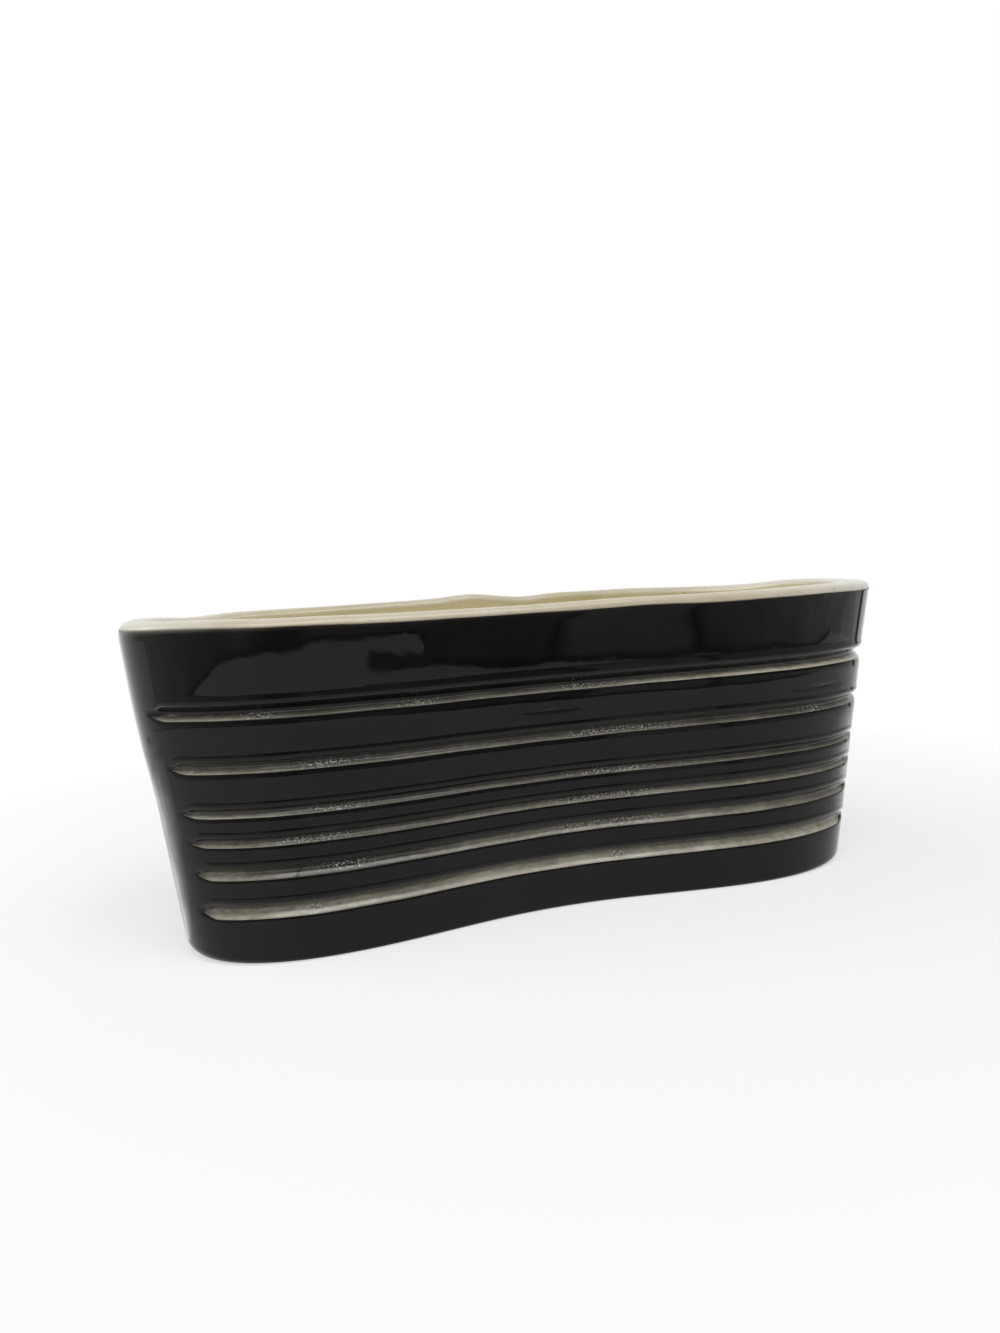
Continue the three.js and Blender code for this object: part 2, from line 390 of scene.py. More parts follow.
# The mix node's colour sockets are its seventh and eighth, and its colour output the third
def addMix(tree, factor, a, b):
    node = tree.nodes.new("ShaderNodeMix")
    node.data_type = "RGBA"
    for socket, value in zip((node.inputs[0], node.inputs[6], node.inputs[7]), (factor, a, b)):
        if isinstance(value, (int, float)):
            socket.default_value = value
        elif isinstance(value, tuple):
            socket.default_value = (*value, 1)
        else:
            tree.links.new(value, socket)
    return node.outputs[2]


def addAxis(tree, place, axis):
    node = tree.nodes.new("ShaderNodeSeparateXYZ")
    tree.links.new(place, node.inputs[0])
    return node.outputs[axis]


# Smooth hollow at a place, of a size along each axis, in mm
def addDent(tree, place, at, size):
    mapping = tree.nodes.new("ShaderNodeMapping")
    mapping.inputs["Location"].default_value = [-a / b for a, b in zip(at, size)]
    mapping.inputs["Scale"].default_value = [1 / (b * mm) for b in size]
    tree.links.new(place, mapping.inputs["Vector"])
    node = tree.nodes.new("ShaderNodeTexGradient")
    node.gradient_type = "QUADRATIC_SPHERE"
    tree.links.new(mapping.outputs["Vector"], node.inputs["Vector"])
    return addRange(tree, node.outputs["Fac"], 0, 1, 1, 0)


def addMark(tree, name):
    node = tree.nodes.new("ShaderNodeAttribute")
    node.attribute_name = name
    return node.outputs["Fac"]


def addBump(tree, shader, height, distance, strength, after=None):
    node = tree.nodes.new("ShaderNodeBump")
    node.inputs["Strength"].default_value = strength
    node.inputs["Distance"].default_value = distance
    tree.links.new(height, node.inputs["Height"])
    if after:
        tree.links.new(after, node.inputs["Normal"])
    tree.links.new(node.outputs["Normal"], shader.inputs["Normal"])
    return node.outputs["Normal"]


# Bare clay: seen only under the planter
clay = {
    "ring": 10.5, "recess": 1.6, "under": 0.7, "columns": 240,
    "tones": ((0.52, 0.43, 0.31), (0.68, 0.59, 0.45)), "speck": (0.24, 0.17, 0.11),
    "roughness": (0.78, 0.92), "grainDepth": 0.00012,
}


def makeClay():
    material, tree, shader, place = startMaterial("bareClay")
    cloudy = addNoise(tree, place, 60, 5)
    colour = addTones(tree, cloudy, *clay["tones"])
    grain = addNoise(tree, place, 1500, 2)
    specks = addRamp(tree, grain, (0.64, 0.0), (0.72, 1.0))
    colour = addMix(tree, specks, colour, clay["speck"])
    tree.links.new(colour, shader.inputs["Base Color"])
    tree.links.new(addSpread(tree, cloudy, *clay["roughness"]), shader.inputs["Roughness"])
    addBump(tree, shader, grain, clay["grainDepth"], 0.6)

    ring, recess = clay["ring"], clay["recess"]
    floor, corner = casting["floorLevel"], casting["floorCorner"]
    path = [centreRow(recess, 0)]
    ground = wallRow(recess, ring + recess)
    path += [between(path[0], ground, share) for share in (0.35, 0.65, 0.85)]
    path += [wallRow(recess, ring + recess * 1.5), wallRow(recess * 0.85, ring + recess * 0.95)]
    path += [wallRow(recess * 0.2, ring + recess * 0.25), wallRow(0.05, ring), wallRow(0, ring - 0.4)]
    path += [footRow(a) for a in (0, 15, 30, 60, 90)]
    for groove in reversed(grooves):
        path += [cutRow(groove, share) for share in (0, 0.2, 0.42, 0.7, 1)]
    path += [lipRow(a) for a in (0, 45, 90, 135, 180)]
    path += [cavityRow(floor + corner, 0, 0), cavityRow(floor + 2, 2, 0.3), cavityRow(floor, corner, 1)]
    path.append(centreRow(floor, 1))
    rows = [{"at": at, "under": clay["under"]} for at in path]
    piece = sweepPiece("clayCasting", rows, roundTurns(clay["columns"]), "clay_body")
    piece.data.materials.append(material)


# Black glaze, from just above the foot to the lip
blackCoat = {
    "columns": 408, "thickness": 0.65, "seamThickness": 0.14,
    "tones": ((0.0036, 0.0034, 0.0034), (0.0062, 0.0057, 0.0053)),
    # The left-end tone is a painted sheen: the black turns lighter towards the left end in place of its brighter
    # gloss
    "leftPaintedSheen": (0.0115, 0.0110, 0.0105), "leftFade": (-0.114, -0.078),         # fade along the length, in metres
    "thinTone": (0.030, 0.023, 0.017), "rubbedTone": (0.34, 0.32, 0.27),        # at its edges, and on the left lip
    "ior": 1.24, "clearIor": 1.15, "clearRoughness": 0.02,
    "roughness": (0.02, 0.06), "dullRoughness": 0.4,
    "waveDepth": 0.00035, "dentDepth": 0.0005, "peelDepth": 0.00003,
    "dents": (((-4.5, -32.5, 63.6), (11, 14, 1.2)),                             # place and size in mm
              ((88, -31, 62.6), (17, 14, 1.6))),
    "chips": (((-110.8, -19.8, 66.8), (4.5, 6, 1.1)),                           # dull marks, place and size in mm
              ((-113.6, -15.5, 63.8), (1.6, 3, 3.4))),
}


def makeBlackCoat():
    material, tree, shader, place = startMaterial("blackGlaze")
    shader.inputs["IOR"].default_value = blackCoat["ior"]
    shader.inputs["Coat IOR"].default_value = blackCoat["clearIor"]
    shader.inputs["Coat Roughness"].default_value = blackCoat["clearRoughness"]
    cloudy = addNoise(tree, place, 45, 4)
    colour = addTones(tree, cloudy, *blackCoat["tones"])
    # Painted sheen: the black is mixed towards a lighter tone at the left end; the same fade also places the
    # rubbed tone on the left lip
    leftEnd = addRange(tree, addAxis(tree, place, "X"), *blackCoat["leftFade"], 1, 0)
    colour = addMix(tree, leftEnd, colour, blackCoat["leftPaintedSheen"])
    thin = addMath(tree, "MULTIPLY", addMark(tree, "edge"), addRange(tree, cloudy, 0.35, 0.65, 0.35, 0.9))
    rubbed = addMath(tree, "MULTIPLY", leftEnd, addMark(tree, "dull"))
    worn = addMix(tree, rubbed, blackCoat["thinTone"], blackCoat["rubbedTone"])
    colour = addMix(tree, thin, colour, worn)
    tree.links.new(colour, shader.inputs["Base Color"])
    smear = addNoise(tree, place, 120, 4, 0.6)
    gloss = addSpread(tree, smear, *blackCoat["roughness"])
    dull = addMark(tree, "dull")
    for at, size in blackCoat["chips"]:
        chip = addRange(tree, addDent(tree, place, at, size), 0.9, 0.5, 0, 1)
        dull = addMath(tree, "MAXIMUM", dull, chip)
    duller = addMath(tree, "MULTIPLY", dull, blackCoat["dullRoughness"])
    tree.links.new(addMath(tree, "ADD", gloss, duller), shader.inputs["Roughness"])
    tree.links.new(addRange(tree, dull, 0, 1, 1, 0), shader.inputs["Coat Weight"])
    peel = addNoise(tree, place, 620, 2)
    wave = addNoise(tree, place, 70, 2)
    last = addBump(tree, shader, wave, blackCoat["waveDepth"], 0.16)
    for at, size in blackCoat["dents"]:
        last = addBump(tree, shader, addDent(tree, place, at, size), blackCoat["dentDepth"], 1.0, last)
    addBump(tree, shader, peel, blackCoat["peelDepth"], 0.12, last)

    # Each row of the outside with the share by which the glaze is thinned there
    foot = ((28, 1.0), (40, 0.6), (52, 0.3), (64, 0.1), (77, 0), (90, 0))
    cuts = ((0, 0.3), (0.03, 0.5), (0.08, 0.4), (0.16, 0.1), (0.28, 0), (0.42, 0), (0.57, 0), (0.72, 0),
            (0.85, 0.1), (0.93, 0.2), (1, 0.1))
    outer = [(footRow(a), edge) for a, edge in foot]
    lower = footRow(90)
    for groove in reversed(grooves):
        lipLow = lipEdgeRow(groove, 0)
        outer += [(between(lower, lipLow, share), 0) for share in (0.06, 0.2, 0.45, 0.75, 1)]
        outer += [(lipEdgeRow(groove, share), 0) for share in (0.2, 0.4, 0.6, 0.8, 0.94)]
        outer += [(cutRow(groove, share), cutEdge(groove, edge)) for share, edge in cuts]
        outer += [(beadRow(groove, up), 0) for up in (0.25, 0.5, 0.75, 1.0, 1.25, cut["beadReach"])]
        lower = beadRow(groove, cut["beadReach"])
    lipLow = lipRow(0)
    outer += [(between(lower, lipLow, share), 0) for share in (0.06, 0.2, 0.45, 0.7, 0.9, 1)]
    wiped = [(between(lipLow, seamRow(-3), share), edge) for share, edge in ((0.3, 0.2), (0.65, 0.5))]
    wiped += [(seamRow(-3), 0.8), (seamRow(-1), 1.0)]
    rows = [{"at": at, "under": 0.0, "edge": edge, "dull": 0.0} for at, edge in outer]
    rows += [{"at": at, "under": 0.0, "edge": edge, "dull": edge} for at, edge in wiped]
    rows.append({"at": seamRow(1), "under": blackCoat["seamThickness"], "edge": 1.0, "dull": 1.0})
    inner = [lipRow(0)]
    for groove in grooves:
        inner += [cutRow(groove, share) for share in (1, 0.7, 0.42, 0.15, 0)]
    inner += [footRow(90), footRow(28)]
    rows += [{"at": at, "under": blackCoat["thickness"], "edge": 1.0, "dull": 1.0} for at in inner]
    rows.append(dict(rows[0]))
    turns = roundTurns(blackCoat["columns"])
    piece = sweepPiece("blackCoat", rows, turns, "black_outer_glaze", ("edge", "dull"))
    piece.data.materials.append(material)


# Ivory glaze over the crest, down the cavity and across the floor
ivoryCoat = {
    "columns": 400, "crowding": 0.36, "thickness": 0.5, "wallRows": 14,
    "lipTones": ((0.46, 0.40, 0.27), (0.56, 0.51, 0.395)),
    "insideTones": ((0.60, 0.51, 0.235), (0.69, 0.60, 0.33)),
    "insideFrom": (120, 205),                                       # degrees over the lip
    # Paler stretches: along the length in metres, shares at both ends, tone
    "lipPaler": (((-0.112, -0.085, 0.75, 0), (0.60, 0.585, 0.51)),
                 ((0.060, 0.112, 0, 0.85), (0.68, 0.665, 0.60))),
    "insidePaler": (((-0.060, -0.015, 0.6, 0), (0.80, 0.74, 0.48)),),
    "speck": (0.20, 0.14, 0.08), "stain": (0.13, 0.105, 0.075),
    "roughness": (0.22, 0.36), "waveDepth": 0.0005, "dustDepth": 0.00004,
}


def makeIvoryCoat():
    material, tree, shader, place = startMaterial("ivoryGlaze")
    cloudy = addNoise(tree, place, 55, 5, 0.55)
    onLip = addTones(tree, cloudy, *ivoryCoat["lipTones"])
    within = addTones(tree, cloudy, *ivoryCoat["insideTones"])
    across = addAxis(tree, place, "X")
    for stretch, tone in ivoryCoat["lipPaler"]:
        onLip = addMix(tree, addRange(tree, across, *stretch), onLip, tone)
    for stretch, tone in ivoryCoat["insidePaler"]:
        within = addMix(tree, addRange(tree, across, *stretch), within, tone)
    colour = addMix(tree, addMark(tree, "inside"), onLip, within)
    dust = addNoise(tree, place, 900, 2, 0.6)
    specks = addRamp(tree, dust, (0.70, 0.0), (0.76, 1.0))
    colour = addMix(tree, specks, colour, ivoryCoat["speck"])
    stain = addMath(tree, "MULTIPLY", addMark(tree, "edge"), addSpread(tree, cloudy, 0.5, 0.95))
    colour = addMix(tree, stain, colour, ivoryCoat["stain"])
    tree.links.new(colour, shader.inputs["Base Color"])
    tree.links.new(addSpread(tree, cloudy, *ivoryCoat["roughness"]), shader.inputs["Roughness"])
    wave = addNoise(tree, place, 90, 3)
    first = addBump(tree, shader, wave, ivoryCoat["waveDepth"], 0.35)
    addBump(tree, shader, dust, ivoryCoat["dustDepth"], 0.3, first)

    # Each row with its depth under the skin, and its shares of stain and of the inside's tone
    path = [(seamRow(-5), 0.22, 1, 0), (seamRow(-1), 0.06, 1, 0), (seamRow(2), 0.01, 0.65, 0),
            (seamRow(5), 0, 0.25, 0), (seamRow(9), 0, 0, 0)]
    path += [(seamRow(9, share), 0, 0, 0) for share in (0.25, 0.5, 0.75, 1)]
    path += [(lipRow(a), 0, 0, ease(a, *ivoryCoat["insideFrom"])) for a in range(64, 181, 8)]
    floor, corner, wallRows = casting["floorLevel"], casting["floorCorner"], ivoryCoat["wallRows"]
    wallTop, wallLow = lipRow(180), cavityRow(floor + corner, 0, 0)
    topInside = ease(180, *ivoryCoat["insideFrom"])
    path += [(between(wallTop, wallLow, i / wallRows), 0, 0, mix(topInside, 1, min(1, i / 2)))
             for i in range(1, wallRows + 1)]
    path += [(cornerRow(a), 0, 0, 1) for a in (78, 66, 54, 42, 30, 18, 6, 0)]
    middle, level = centreRow(floor, 1), cornerRow(0)
    path += [(between(level, middle, share), 0, 0, 1) for share in (0.2, 0.4, 0.6, 0.8, 0.93, 1)]
    rows = [{"at": at, "under": under, "edge": edge, "inside": inside} for at, under, edge, inside in path]
    back = [middle, level, cavityRow(floor + 2, 2, 0.3), wallLow, wallTop]
    back += [lipRow(135), lipRow(90), lipRow(rimLip["top"]), seamRow(-5)]
    rows += [{"at": at, "under": ivoryCoat["thickness"], "edge": 1, "inside": 0} for at in back]
    rows.append(dict(rows[0]))
    turns = roundTurns(ivoryCoat["columns"], ivoryCoat["crowding"])
    piece = sweepPiece("ivoryCoat", rows, turns, "ivory_liner_glaze", ("edge", "inside"))
    piece.data.materials.append(material)


# Pale lines in the grooves: reach up the cut, tones along it, how soon its painted shade darkens it upwards, tips
# in degrees round from an end, and where the glaze is pitted and carries painted glints (place and reach in mm)
paleLines = (
    {"reach": 0.50, "tones": (0.70, 0.28, 0.52, 1.22, 1.45), "fall": 0.9, "left": 16.3, "right": 12,
     "sparks": ((-89, 4), (-45, 5), (6, 8))},
    {"reach": 0.76, "tones": (0.85, 0.42, 0.50, 0.44, 0.34), "fall": 0.75, "left": 19.7, "right": 16,
     "sparks": ((-72, 8), (8, 6), (26, 9), (88, 5))},
    {"reach": 0.69, "tones": (0.88, 0.38, 0.48, 0.44, 0.33), "fall": 0.8, "left": 20.2, "right": 18.5,
     "sparks": ((-70, 7), (18, 14))},
    {"reach": 0.70, "tones": (0.74, 0.34, 0.62, 0.64, 0.53), "fall": 1.05, "left": 20.9, "right": 19.5,
     "sparks": ((-78, 12), (16, 16))},
    {"reach": 0.79, "tones": (0.68, 0.20, 0.66, 0.66, 0.40), "fall": 1.45, "left": 21.1, "right": 20.3,
     "sparks": ((-70, 7), (3, 5), (22, 13))},
    {"reach": 0.85, "tones": (0.88, 0.84, 1.12, 0.92, 0.88), "fall": 1.4, "left": 20.2, "right": 19.5,
     "sparks": ((-80, 2), (20, 3))},
)
lineForm = {
    "columns": 300, "across": 12, "behind": 3,
    "seat": 0.012, "proud": 0.10, "edgeProud": 0.12, "sunk": 0.35,
    "tipLength": 4.6, "tipMiddle": 0.45, "tipCrowding": 0.8, "tipTone": 0.3, "tipFade": 4.5,
    "tonePlaces": (-103, -78, 0, 62, 96),
}
lineLook = {
    "pale": ((0.46, 0.425, 0.325), (0.52, 0.495, 0.40)), "bare": (0.0075, 0.0070, 0.0055),
    "pit": (0.020, 0.019, 0.016), "paintedGlint": (0.76, 0.75, 0.71), "crack": (0.012, 0.011, 0.009),
    "roughness": (0.10, 0.26), "unevenDepth": 0.00012, "grainDepth": 0.00004,
}
# Hairline across the fifth line, in mm: place, height, width, slope, fade up and down, fade behind the front
crack = {"at": -77.8, "level": 26.5, "width": 0.8, "lean": 0.75, "reach": (1.6, 2.4), "front": (-12, -10)}


def makeLineGlaze():
    material, tree, shader, place = startMaterial("lineGlaze")
    rise = addMark(tree, "rise")
    cloudy = addNoise(tree, place, 60, 3, 0.5)
    uneven = addNoise(tree, place, 520, 3, 0.6, (0.3, 1, 1))
    shade = addMath(tree, "ADD", rise, addSpread(tree, uneven, -0.09, 0.09))
    # Painted shade: the pale glaze is darkened up the groove, towards its downward-facing upper flank, by a ramp
    # on the rise
    coverAndPaintedShade = addRamp(tree, shade, (0.0, 1.0), (0.18, 0.86), (0.42, 0.42), (0.66, 0.13), (1.0, 0.05))
    coverAndPaintedShade = addMath(tree, "MULTIPLY", coverAndPaintedShade, addSpread(tree, cloudy, 0.78, 1.12))
    mottle = addNoise(tree, place, 760, 3, 0.65, (0.6, 1, 1))
    coverAndPaintedShade = addMath(tree, "MULTIPLY", coverAndPaintedShade, addRange(tree, mottle, 0.32, 0.68, 0.76, 1.18))
    coverAndPaintedShade = addMath(tree, "MULTIPLY", coverAndPaintedShade, addMark(tree, "tone"))
    pale = addTones(tree, cloudy, *lineLook["pale"])
    # The dark end of this mix is the bare black and the deepest painted shade
    colour = addMix(tree, coverAndPaintedShade, lineLook["bare"], pale)

    pits = addNoise(tree, place, 2500, 1, 0.5, (0.7, 1, 1))
    spark = addMath(tree, "MULTIPLY", addMark(tree, "spark"),
                    addRamp(tree, shade, (0.04, 0.25), (0.2, 1.0), (0.5, 1.0), (0.75, 0.0)))
    dark = addMath(tree, "MULTIPLY", addRamp(tree, pits, (0.38, 0.75), (0.47, 0.0)), spark)
    colour = addMix(tree, dark, colour, lineLook["pit"])
    # Painted glints: bright specks in the pitted stretches, standing in for light caught on the rough glaze
    bright = addMath(tree, "MULTIPLY", addRamp(tree, pits, (0.57, 0.0), (0.67, 0.9)), spark)
    colour = addMix(tree, bright, colour, lineLook["paintedGlint"])

    width = crack["width"] * mm
    above = addMath(tree, "SUBTRACT", addAxis(tree, place, "Z"), crack["level"] * mm)
    leaning = addMath(tree, "ADD", addMath(tree, "MULTIPLY", above, crack["lean"]), crack["at"] * mm)
    beside = addMath(tree, "SUBTRACT", addAxis(tree, place, "X"), leaning)
    split = addRange(tree, addMath(tree, "ABSOLUTE", beside, 0), width * 0.4, width, 0.9, 0)
    near = addRange(tree, addMath(tree, "ABSOLUTE", above, 0), *(reach * mm for reach in crack["reach"]), 1, 0)
    front = addRange(tree, addAxis(tree, place, "Y"), *(limit * mm for limit in crack["front"]), 1, 0)
    split = addMath(tree, "MULTIPLY", split, addMath(tree, "MULTIPLY", near, front))
    colour = addMix(tree, split, colour, lineLook["crack"])
    tree.links.new(colour, shader.inputs["Base Color"])
    tree.links.new(addSpread(tree, uneven, *lineLook["roughness"]), shader.inputs["Roughness"])
    grain = addNoise(tree, place, 1700, 2)
    first = addBump(tree, shader, uneven, lineLook["unevenDepth"], 0.35)
    addBump(tree, shader, grain, lineLook["grainDepth"], 0.35, first)
    return material


# Degrees from a place on a line to its nearer tip
def fromTip(line, turn):
    fromLeft = math.degrees(turn) % 180
    return min(fromLeft - line["left"], 180 - line["right"] - fromLeft)


# Row at a share of a line's height: proud of the cut's bed, or sunk under it
def lineRow(groove, line, share):
    def at(turn, under):
        short = min(1.0, max(0.0, fromTip(line, turn)) / lineForm["tipLength"])
        full = math.sqrt(max(0.0, 1 - (1 - short) ** 2))
        rise = lineForm["seat"] + line["reach"] * mix(lineForm["tipMiddle"], share, full)
        lift = lineForm["proud"] * math.sin(math.pi * mix(lineForm["edgeProud"], 1, share)) * full
        return cutRow(groove, rise)(turn, under * full if under else -lift)
    return at


# Tone of the pale glaze along each stretch of a line, seen from the line's own side
def lineTone(line, turn):
    x = -ovalPoint(casting["rimOutline"], turn)[0]
    places, tones = lineForm["tonePlaces"], line["tones"]
    tone = tones[0]
    for i in range(len(places) - 1):
        tone = mix(tone, tones[i + 1], ease(x, places[i], places[i + 1]))
    return tone * mix(lineForm["tipTone"], 1, ease(fromTip(line, turn), 0, lineForm["tipFade"]))


def lineSpark(line, turn):
    x = -ovalPoint(casting["rimOutline"], turn)[0]
    return min(1.0, sum(bell(x - at, reach) for at, reach in line["sparks"]))


# Columns of a line, closer together at its tips
def lineTurns(line, start):
    count = lineForm["columns"]
    low, high = start + math.radians(line["left"]), start + math.radians(180 - line["right"])
    turns = []
    for i in range(count + 1):
        share = i / count
        share -= lineForm["tipCrowding"] * math.sin(2 * math.pi * share) / (2 * math.pi)
        turns.append(mix(low, high, share))
    return turns


def makeLines(side, material, start):
    across, behind = lineForm["across"], lineForm["behind"]
    for number, (groove, line) in enumerate(zip(grooves, paleLines), 1):
        marks = {"tone": lambda turn: lineTone(line, turn - start),
                 "spark": lambda turn: lineSpark(line, turn - start)}
        rows = []
        for share in (i / across for i in range(across + 1)):
            rows.append({"at": lineRow(groove, line, share), "under": 0, "rise": share ** line["fall"], **marks})
        for share in (i / behind for i in range(behind, -1, -1)):
            rows.append({"at": lineRow(groove, line, share), "under": lineForm["sunk"], "rise": share, **marks})
        rows.append(dict(rows[0]))
        piece = sweepPiece(f"paleLine{side}{number}", rows, lineTurns(line, start),
                           f"{side.lower()}_groove_line_{number}", ("rise", "tone", "spark"))
        piece.data.materials.append(material)


# Studio: white for the camera and for reflections, a plain level of soft light on the object
studio = {
    "floorSize": 8.0, "floorTone": 0.90, "floorMottle": 1.01, "floorRoughness": 0.9,
    "skyLight": 0.32, "skySeen": 1.0,
    "nearGlow": 0.6, "glowFade": (0.14, 0.31),      # white share of the floor near the planter, and where it fills
}


def addSeenRays(tree):
    rays = tree.nodes.new("ShaderNodeLightPath")
    seen = addMath(tree, "MAXIMUM", rays.outputs["Is Camera Ray"], rays.outputs["Is Glossy Ray"])
    return addMath(tree, "MAXIMUM", seen, rays.outputs["Is Transmission Ray"])


def makeStudio():
    scene = bpy.context.scene
    scene.view_settings.view_transform = "Standard"
    world = bpy.data.worlds.new("studioWorld")
    world.use_nodes = True
    scene.world = world
    tree = world.node_tree
    sky = tree.nodes["Background"]
    sky.inputs["Color"].default_value = (1, 1, 1, 1)
    strength = addRange(tree, addSeenRays(tree), 0, 1, studio["skyLight"], studio["skySeen"])
    tree.links.new(strength, sky.inputs["Strength"])

    material, tree, shader, place = startMaterial("studioFloor")
    tone = studio["floorTone"]
    colour = addTones(tree, addNoise(tree, place, 6, 2), tone, tone * studio["floorMottle"])
    tree.links.new(colour, shader.inputs["Base Color"])
    shader.inputs["Roughness"].default_value = studio["floorRoughness"]
    shader.inputs["Specular IOR Level"].default_value = 0.0
    length = tree.nodes.new("ShaderNodeVectorMath")
    length.operation = "LENGTH"
    tree.links.new(place, length.inputs[0])
    far = addRange(tree, length.outputs["Value"], *studio["glowFade"], studio["nearGlow"], 1)
    glow = tree.nodes.new("ShaderNodeEmission")
    blend = tree.nodes.new("ShaderNodeMixShader")
    tree.links.new(addMath(tree, "MULTIPLY", far, addSeenRays(tree)), blend.inputs[0])
    tree.links.new(shader.outputs[0], blend.inputs[1])
    tree.links.new(glow.outputs[0], blend.inputs[2])
    tree.links.new(blend.outputs[0], tree.nodes["Material Output"].inputs["Surface"])
    plate = bmesh.new()
    bmesh.ops.create_grid(plate, x_segments=8, y_segments=8, size=studio["floorSize"] / 2)
    mesh = bpy.data.meshes.new("studioFloor")
    plate.to_mesh(mesh)
    plate.free()
    floor = bpy.data.objects.new("studioFloor", mesh)
    floor.data.materials.append(material)
    bpy.context.collection.objects.link(floor)


# Glowing grey sheets round the front, no lamps, which only the gloss of the glazes picks up and which paint its
# reflections of a dim room; the low screen is darkest at its foot, a painted shadow line, and the small low sheet
# brightest along its top: places and tones along their feet, heights and shares of the tone up them, in metres
screens = (
    {"name": "lowScreen",
     "foot": ((-0.350, -0.012, 0.65), (-0.325, -0.145, 0.46), (-0.304, -0.221, 0.32), (-0.270, -0.290, 0.20),
              (-0.224, -0.305, 0.42), (-0.165, -0.308, 0.07), (-0.112, -0.303, 0.10), (-0.097, -0.310, 0.40),
              (-0.064, -0.294, 0.25), (-0.011, -0.259, 0.30), (0.002, -0.249, 0.30), (0.009, -0.239, 0.28),
              (0.012, -0.224, 0.24), (0.010, -0.202, 0.20), (0.035, -0.1695, 0.22), (0.051, -0.160, 0.26),
              (0.0555, -0.161, 0.06), (0.060, -0.160, 0.54), (0.118, -0.186, 0.56), (0.131, -0.194, 0.08),
              (0.144, -0.199, 0.40), (0.240, -0.215, 0.55), (0.420, -0.170, 0.86)),
     "rises": ((0.0, 0.15), (0.0025, 0.22), (0.005, 0.85), (0.02, 1.0), (0.12, 1.0))},
    {"name": "tallScreen",
     "foot": ((-0.74, 0.30, 1.0), (-0.78, 0.12, 0.65), (-0.75, -0.05, 0.36), (-0.62, -0.40, 0.18),
              (-0.30, -0.62, 0.12), (0.30, -0.62, 0.12), (0.62, -0.40, 0.18), (0.75, -0.05, 0.36),
              (0.78, 0.12, 0.65), (0.74, 0.30, 1.0)),
     "rises": ((0.0, 1.0), (0.5, 1.0), (1.0, 1.2))},
    {"name": "rightScreen",
     "foot": ((0.425, -0.172, 0.76), (0.470, -0.100, 0.72), (0.490, -0.020, 0.76), (0.488, 0.028, 0.80),
              (0.484, 0.044, 0.10), (0.478, 0.070, 0.10), (0.474, 0.086, 1.0), (0.460, 0.140, 1.0)),
     "rises": ((0.0, 1.0), (0.12, 1.0))},
    {"name": "lowGlowSheet",
     "foot": ((-0.031, -0.241, 0.4), (-0.027, -0.235, 0.15), (-0.020, -0.227, 0.12), (-0.006, -0.213, 0.12),
              (0.007, -0.2005, 0.14), (0.0115, -0.1975, 0.16)),
     "rises": ((0.0, 0.9), (0.003, 1.0), (0.0062, 1.0), (0.0074, 1.6))},
)
# Glowing fan-shaped sheets lying at the ends, no lamps, seen only in the gloss, where they paint a brighter
# reflection of the floor: turns from the end in degrees and reaches in metres, each with a share of the brightness
floorGlowSheets = (
    {"name": "leftGlowSheet", "hub": (-0.109, -0.004, 0.0006), "side": -1, "tone": 0.9, "bright": 0.85,
     "turns": ((-2, 0.0), (12, 0.5), (24, 1.0), (50, 1.0), (64, 0.0)),
     "reaches": ((0.004, 0.4), (0.02, 1.0), (0.11, 1.0), (0.18, 0.0))},
    {"name": "rightGlowSheet", "hub": (0.103, -0.018, 0.0006), "side": 1, "tone": 0.88, "bright": 0.55,
     "turns": ((-20, 0.0), (-6, 0.5), (4, 1.0), (18, 1.0), (30, 0.0)),
     "reaches": ((0.045, 0.0), (0.075, 0.6), (0.10, 1.0), (0.17, 1.0), (0.27, 0.0))},
)


def makeSheet(name, grid, material):
    across, up = len(grid[0]) - 1, len(grid) - 1
    sheet = bmesh.new()
    tones = sheet.verts.layers.float.new("tone")
    bmesh.ops.create_grid(sheet, x_segments=across, y_segments=up, size=0.5)
    for vert in sheet.verts:
        row = grid[round((vert.co.y + 0.5) * up)]
        vert.co, vert[tones] = row[round((vert.co.x + 0.5) * across)]
    mesh = bpy.data.meshes.new(name)
    sheet.to_mesh(mesh)
    sheet.free()
    mesh.materials.append(material)
    holder = bpy.data.objects.new(name, mesh)
    bpy.context.collection.objects.link(holder)
    holder.visible_camera = holder.visible_diffuse = holder.visible_shadow = False


def makeScreens():
    material, tree, shader, place = startMaterial("glowingReflectionSheet")
    cloth = addNoise(tree, place, 24, 3, 0.5)
    tone = addMath(tree, "MULTIPLY", addMark(tree, "tone"), addSpread(tree, cloth, 0.8, 1.2))
    # The sheets glow at their tone and are no lamps, so what they add to the glazes is painted reflection
    glow = tree.nodes.new("ShaderNodeEmission")
    tree.links.new(tone, glow.inputs["Color"])
    tree.links.new(glow.outputs[0], tree.nodes["Material Output"].inputs["Surface"])
    for screen in screens:
        foot, rises = screen["foot"], screen["rises"]
        grid = [[((x, y, height), grey * share) for x, y, grey in foot] for height, share in rises]
        makeSheet(screen["name"], grid, material)
    # Painted reflection: sheets on the floor glowing brighter than white, seen only in the glazes' gloss
    for glowSheet in floorGlowSheets:
        x, y, level = glowSheet["hub"]
        grid = []
        for reach, fade in glowSheet["reaches"]:
            row = []
            for degrees, share in glowSheet["turns"]:
                turn = math.radians(degrees)
                at = (x + glowSheet["side"] * reach * math.cos(turn), y + reach * math.sin(turn), level)
                row.append((at, glowSheet["tone"] + glowSheet["bright"] * share * fade))
            grid.append(row)
        makeSheet(glowSheet["name"], grid, material)


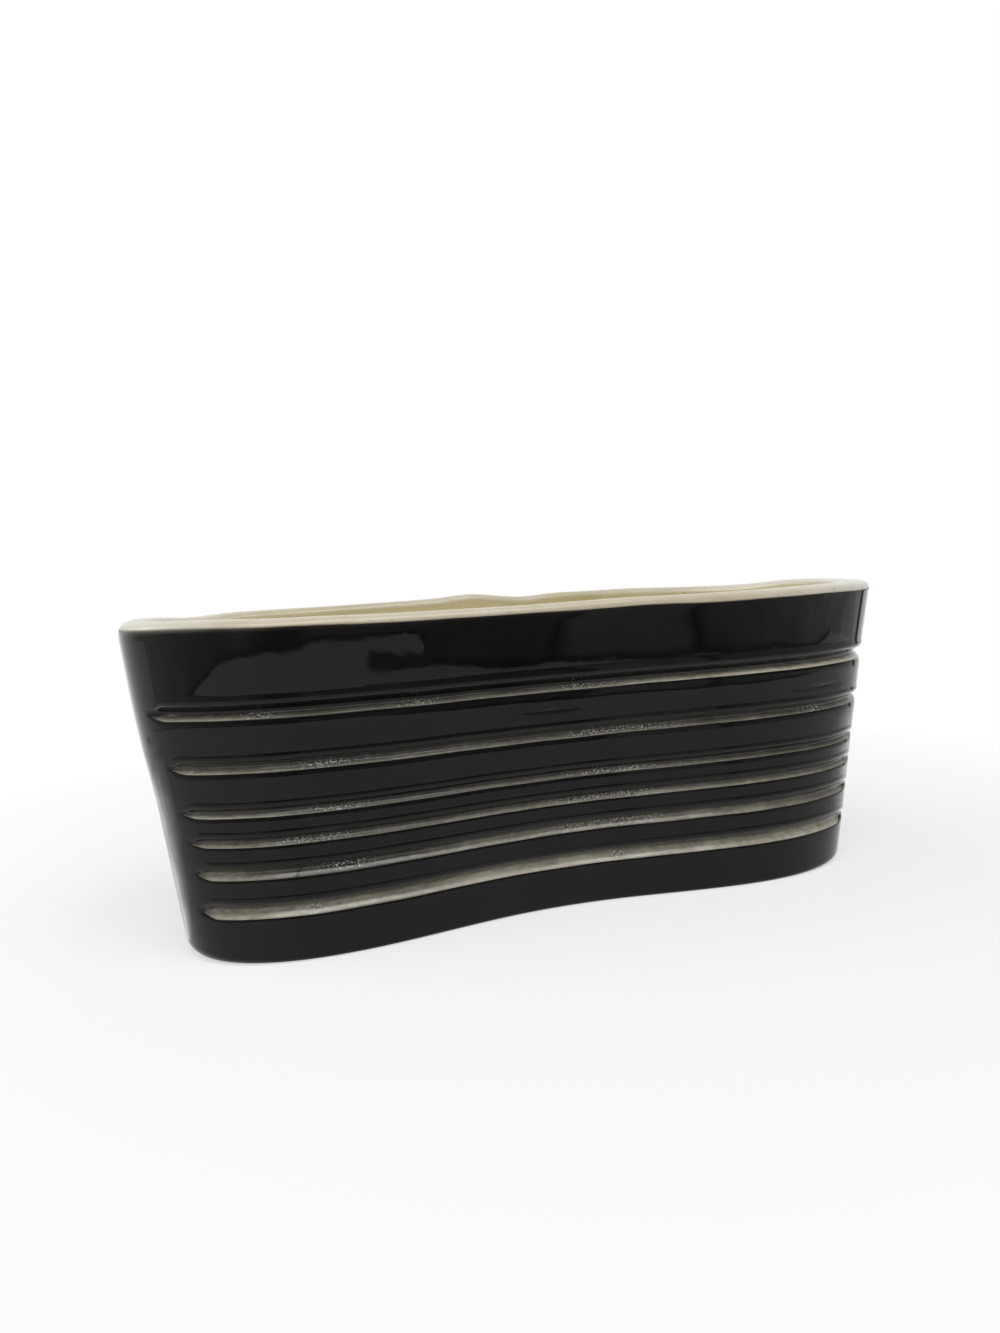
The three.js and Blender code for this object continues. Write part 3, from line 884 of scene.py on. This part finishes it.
# Soft lamps, in metres
lamps = (
    {"name": "overheadSoftbox", "at": (0.0, -0.34, 0.72), "aim": (0, 0, 0.05), "size": (0.6, 0.45),
     "watts": 3.7},
    {"name": "leftSoftbox", "at": (-0.55, 0.10, 0.40), "aim": (-0.2, 0, 0), "size": (0.35, 0.35),
     "watts": 1.15},
)


def makeLamps():
    for lamp in lamps:
        light = bpy.data.lights.new(lamp["name"], "AREA")
        light.shape = "RECTANGLE"
        light.size, light.size_y = lamp["size"]
        light.energy = lamp["watts"]
        holder = bpy.data.objects.new(lamp["name"], light)
        holder.location = lamp["at"]
        aim = Vector(lamp["aim"]) - Vector(lamp["at"])
        holder.rotation_euler = aim.to_track_quat("-Z", "Y").to_euler()
        bpy.context.collection.objects.link(holder)


# Camera of the photograph: place in mm, angles in radians, focal length as a share of the picture's long side
view = {
    "at": (-102.64, -286.60, 109.88), "swing": -0.3155, "dip": 0.1205, "roll": -0.0453,
    "focal": 963 / 1333, "sensor": 36, "clip": 0.01,
}


def makeCamera():
    swing, dip, roll = view["swing"], view["dip"], view["roll"]
    ahead = Vector((-math.sin(swing) * math.cos(dip), math.cos(swing) * math.cos(dip), -math.sin(dip)))
    level = Vector((math.cos(swing), math.sin(swing), 0))
    upright = level.cross(ahead)
    right = math.cos(roll) * level + math.sin(roll) * upright
    up = -math.sin(roll) * level + math.cos(roll) * upright
    camera = bpy.data.cameras.new("photoCamera")
    camera.sensor_width = view["sensor"]
    camera.lens = view["sensor"] * view["focal"]
    camera.clip_start = view["clip"]
    holder = bpy.data.objects.new("photoCamera", camera)
    turned = Matrix((right, up, -ahead)).transposed().to_4x4()
    holder.matrix_world = Matrix.Translation(Vector(view["at"]) * mm) @ turned
    bpy.context.collection.objects.link(holder)
    bpy.context.scene.camera = holder


makeClay()
makeBlackCoat()
makeIvoryCoat()
lineGlaze = makeLineGlaze()
makeLines("Front", lineGlaze, math.pi)
makeLines("Rear", lineGlaze, 0.0)
print("planter: glazes done")
makeStudio()
makeScreens()
makeLamps()
makeCamera()
print("planter: studio ready")
